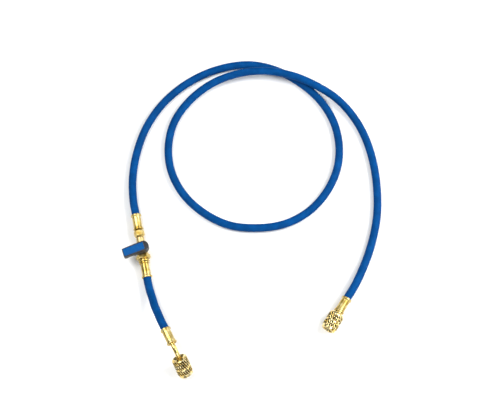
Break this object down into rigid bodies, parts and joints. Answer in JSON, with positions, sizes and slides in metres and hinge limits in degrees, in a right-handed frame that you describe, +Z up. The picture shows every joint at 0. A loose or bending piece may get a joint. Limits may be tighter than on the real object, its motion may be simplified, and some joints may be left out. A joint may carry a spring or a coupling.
{
  "type": "refrigerant charging hose",
  "caption": "Flexible blue hose for moving refrigerant, with a quarter-turn ball valve, a short whip, a knurled swivel nut on each end and one bent end.",
  "frame": {"origin": "on the floor under the middle of the box round the metal and plastic fittings", "axes": "+Z up, +X from the valve's side of the hose to the straight end's side, +Y from the free ends towards the coil"},
  "size_m": [0.3571, 0.4676, 0.0375],
  "materials": {
    "hose_cover": "smooth satin extruded rubber cover",
    "ferrule_brass": "turned and crimped, bright",
    "fitting_brass": "turned, bright",
    "nut_brass": "knurled and turned, bright",
    "forged_brass": "hot forged, fine grey-gold satin",
    "handle_plastic": "fine moulded grain",
    "inset_plastic": "smooth moulded",
    "seal": "matt moulded"
  },
  "bodies": {
    "hose": {"main_hose": "hose_cover", "whip_hose": "hose_cover", "valve_inlet_ferrule": "ferrule_brass", "valve_outlet_ferrule": "ferrule_brass", "straight_ferrule": "ferrule_brass", "elbow_ferrule": "ferrule_brass", "valve_inlet_union": "fitting_brass", "valve_outlet_fitting": "fitting_brass", "valve_body": "forged_brass", "straight_stem": "fitting_brass", "straight_gasket": "seal", "elbow_tube": "fitting_brass", "elbow_gasket": "seal", "core_depressor": "fitting_brass"},
    "lever": {"valve_stem": "fitting_brass", "valve_handle": "handle_plastic", "handle_inset": "inset_plastic"},
    "straight_swivel": {"straight_nut": "nut_brass"},
    "bent_swivel": {"elbow_nut": "nut_brass"}
  },
  "joints": [
    {"name": "valve_turn", "type": "hinge", "parent": "hose", "child": "lever", "pos_m": [-0.1285, 0.0604, 0.0265], "axis": [0, 0, 1], "range_deg": [-8, 82]},
    {"name": "straight_nut_spin", "type": "hinge", "parent": "hose", "child": "straight_swivel", "pos_m": [0.13671, -0.02735, 0.0105], "axis": [-0.5299, -0.848, 0], "continuous": true},
    {"name": "bent_nut_spin", "type": "hinge", "parent": "hose", "child": "bent_swivel", "pos_m": [-0.07406, -0.09098, 0.0238], "axis": [0.3418, -0.6856, -0.6428], "continuous": true}
  ]
}
